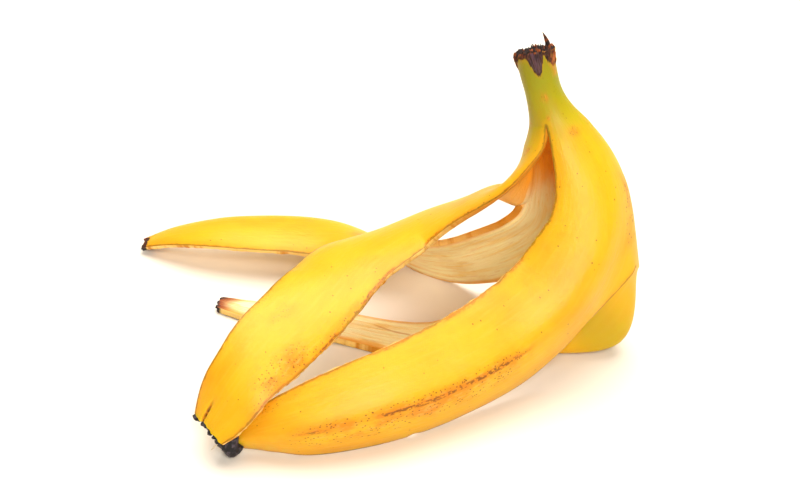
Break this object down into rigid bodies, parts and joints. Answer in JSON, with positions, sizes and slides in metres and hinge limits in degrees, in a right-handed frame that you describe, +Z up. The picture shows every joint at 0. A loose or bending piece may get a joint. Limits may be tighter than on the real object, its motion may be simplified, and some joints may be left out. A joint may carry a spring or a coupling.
{
  "type": "banana peel",
  "caption": "Empty banana peel lying on its side, torn into strips that hang together at the stem.",
  "frame": {"origin": "middle of the bounding box, on the surface that the peel lies on", "axes": "+X from the strips' tips towards the bend at the stem end, +Y away from the front strip, +Z up to the cut stem"},
  "size_m": [0.165, 0.1176, 0.0994],
  "materials": {
    "banana_peel": "fresh banana skin, waxy yellow outside and dull cream inside"
  },
  "bodies": {
    "root": {"banana_peel": "banana_peel"}
  },
  "joints": []
}
